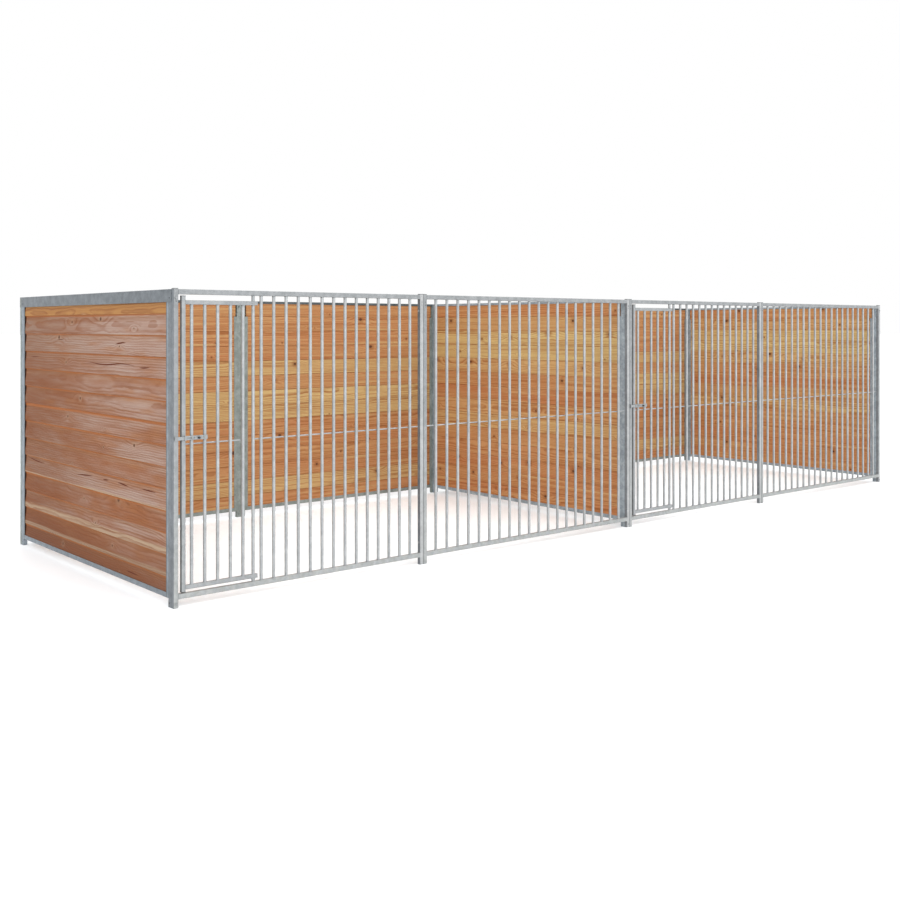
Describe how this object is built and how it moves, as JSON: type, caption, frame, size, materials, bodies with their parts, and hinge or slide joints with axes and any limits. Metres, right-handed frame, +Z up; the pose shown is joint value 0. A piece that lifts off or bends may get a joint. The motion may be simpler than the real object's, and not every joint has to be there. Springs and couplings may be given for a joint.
{
  "type": "double dog kennel",
  "caption": "Open-topped double dog kennel: two runs with barred steel fronts, hinged doors with slide latches, and timber board walls at the sides, back and between the runs.",
  "frame": {"origin": "on the ground, under the middle of the kennel's whole outline", "axes": "+X along the front to the right, +Y from the barred front to the board wall at the back, +Z up"},
  "size_m": [8.004, 2.532, 1.846],
  "materials": {
    "galvanised_steel": "hot-dip galvanised, dull with a fine spangle",
    "softwood": "planed softwood boards with knots, oiled",
    "black_plastic": "matt moulded plastic",
    "grey_plastic": "matt moulded plastic"
  },
  "bodies": {
    "kennel": {"left_door_panel_frame": "galvanised_steel", "left_door_panel_bars": "galvanised_steel", "left_door_panel_rod": "galvanised_steel", "left_hinge_bar": "galvanised_steel", "left_latch_keeper": "galvanised_steel", "left_bar_panel_frame": "galvanised_steel", "left_bar_panel_bars": "galvanised_steel", "left_bar_panel_rod": "galvanised_steel", "right_door_panel_frame": "galvanised_steel", "right_door_panel_bars": "galvanised_steel", "right_door_panel_rod": "galvanised_steel", "right_hinge_bar": "galvanised_steel", "right_latch_keeper": "galvanised_steel", "right_bar_panel_frame": "galvanised_steel", "right_bar_panel_bars": "galvanised_steel", "right_bar_panel_rod": "galvanised_steel", "left_side_frame": "galvanised_steel", "left_side_capping": "galvanised_steel", "left_side_boards": "softwood", "partition_frame": "galvanised_steel", "partition_capping": "galvanised_steel", "partition_boards": "softwood", "right_side_frame": "galvanised_steel", "right_side_capping": "galvanised_steel", "right_side_boards": "softwood", "left_back_narrow_frame": "galvanised_steel", "left_back_narrow_capping": "galvanised_steel", "left_back_narrow_boards": "softwood", "left_back_wide_frame": "galvanised_steel", "left_back_wide_capping": "galvanised_steel", "left_back_wide_boards": "softwood", "right_back_narrow_frame": "galvanised_steel", "right_back_narrow_capping": "galvanised_steel", "right_back_narrow_boards": "softwood", "right_back_wide_frame": "galvanised_steel", "right_back_wide_capping": "galvanised_steel", "right_back_wide_boards": "softwood", "post_caps": "grey_plastic", "joining_bolts": "galvanised_steel", "joining_nuts": "galvanised_steel"},
    "left_door": {"left_door_frame": "galvanised_steel", "left_door_bars": "galvanised_steel", "left_door_rod": "galvanised_steel", "left_latch_plate": "galvanised_steel", "left_latch_guides": "galvanised_steel", "left_door_plugs": "black_plastic"},
    "left_latch": {"left_latch_bolt": "galvanised_steel", "left_latch_knob": "black_plastic"},
    "right_door": {"right_door_frame": "galvanised_steel", "right_door_bars": "galvanised_steel", "right_door_rod": "galvanised_steel", "right_latch_plate": "galvanised_steel", "right_latch_guides": "galvanised_steel", "right_door_plugs": "black_plastic"},
    "right_latch": {"right_latch_bolt": "galvanised_steel", "right_latch_knob": "black_plastic"}
  },
  "joints": [
    {"name": "left_door_hinge", "type": "hinge", "parent": "kennel", "child": "left_door", "pos_m": [-3.471, -1.22625, 0.94], "axis": [0, 0, 1], "range_deg": [0, 150]},
    {"name": "left_latch_slide", "type": "slide", "parent": "left_door", "child": "left_latch", "axis": [-1, 0, 0], "range_m": [-0.04, 0.012]},
    {"name": "right_door_hinge", "type": "hinge", "parent": "kennel", "child": "right_door", "pos_m": [0.529, -1.22625, 0.94], "axis": [0, 0, 1], "range_deg": [0, 150]},
    {"name": "right_latch_slide", "type": "slide", "parent": "right_door", "child": "right_latch", "axis": [-1, 0, 0], "range_m": [-0.04, 0.012]}
  ]
}
